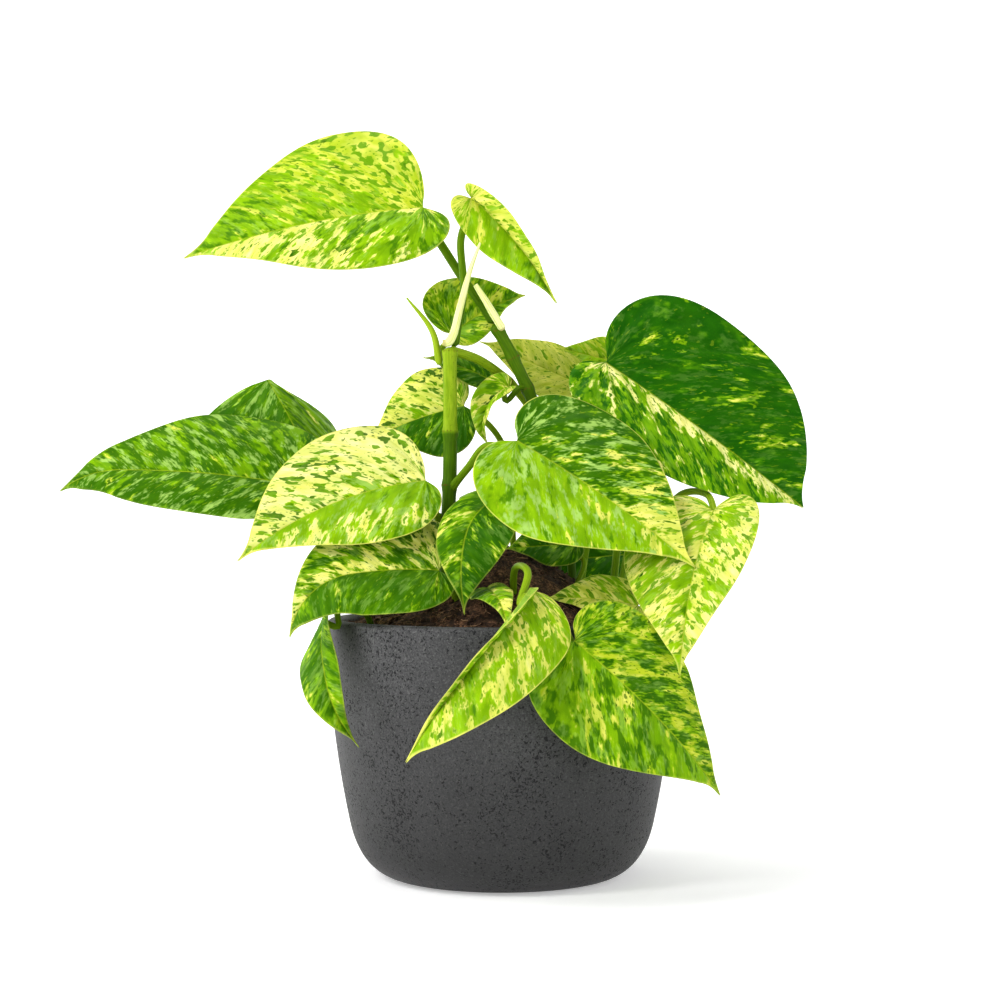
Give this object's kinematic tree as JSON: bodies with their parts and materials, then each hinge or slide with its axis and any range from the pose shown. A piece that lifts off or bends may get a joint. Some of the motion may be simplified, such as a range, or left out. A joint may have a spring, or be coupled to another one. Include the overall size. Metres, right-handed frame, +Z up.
{
  "type": "potted pothos plant",
  "caption": "Round dark stone planter filled with soil, with upright vines and long-stalked, glossy, heart-shaped leaves marbled in green and cream.",
  "frame": {"origin": "centre of the pot's flat base, on the surface that it stands on", "axes": "+Z up; the plant's front looks towards -Y, and its right-hand side is +X"},
  "size_m": [0.3108, 0.2424, 0.3142],
  "materials": {
    "pot": "matt, speckled cast stone",
    "soil": "crumbly peat",
    "vine": "smooth green stem",
    "stalk": "smooth green leaf stalk",
    "sheath": "pale, thin skin",
    "leaf_green": "glossy green leaf with cream marbling",
    "leaf_dark": "glossy dark green leaf",
    "leaf_cream": "glossy cream leaf with green marbling",
    "leaf_lime": "glossy light green leaf with cream marbling"
  },
  "bodies": {
    "root": {"pot": "pot", "soil": "soil", "vine_left": "vine", "vine_right": "vine", "vine_crossing": "vine", "sheath_left": "sheath", "sheath_right": "sheath", "sheath_spike": "sheath", "leaf_back_pale": "leaf_cream", "leaf_back_right": "leaf_lime", "leaf_centre_dark": "leaf_dark", "leaf_centre_heart": "leaf_lime", "leaf_centre_hooked": "leaf_lime", "leaf_centre_low": "leaf_dark", "leaf_far_left": "leaf_green", "leaf_front_drooping": "leaf_cream", "leaf_front_left": "leaf_lime", "leaf_front_right": "leaf_green", "leaf_hanging_left": "leaf_green", "leaf_left_behind": "leaf_dark", "leaf_left_cream": "leaf_cream", "leaf_middle_left": "leaf_lime", "leaf_rear_high": "leaf_green", "leaf_rear_left": "leaf_green", "leaf_rear_low": "leaf_green", "leaf_rear_right": "leaf_green", "leaf_right_cream": "leaf_cream", "leaf_right_large": "leaf_dark", "leaf_soil_front": "leaf_lime", "leaf_soil_right": "leaf_cream", "leaf_top_left": "leaf_lime", "leaf_top_right": "leaf_lime", "leaf_under_heart": "leaf_dark", "leaf_upper_centre": "leaf_green", "stalk_back_pale": "stalk", "stalk_back_right": "stalk", "stalk_centre_dark": "stalk", "stalk_centre_heart": "stalk", "stalk_centre_hooked": "stalk", "stalk_centre_low": "stalk", "stalk_far_left": "stalk", "stalk_front_drooping": "stalk", "stalk_front_left": "stalk", "stalk_front_right": "stalk", "stalk_hanging_left": "stalk", "stalk_left_behind": "stalk", "stalk_left_cream": "stalk", "stalk_middle_left": "stalk", "stalk_rear_high": "stalk", "stalk_rear_left": "stalk", "stalk_rear_low": "stalk", "stalk_rear_right": "stalk", "stalk_right_cream": "stalk", "stalk_right_large": "stalk", "stalk_soil_front": "stalk", "stalk_soil_right": "stalk", "stalk_top_left": "stalk", "stalk_top_right": "stalk", "stalk_under_heart": "stalk", "stalk_upper_centre": "stalk"}
  },
  "joints": []
}
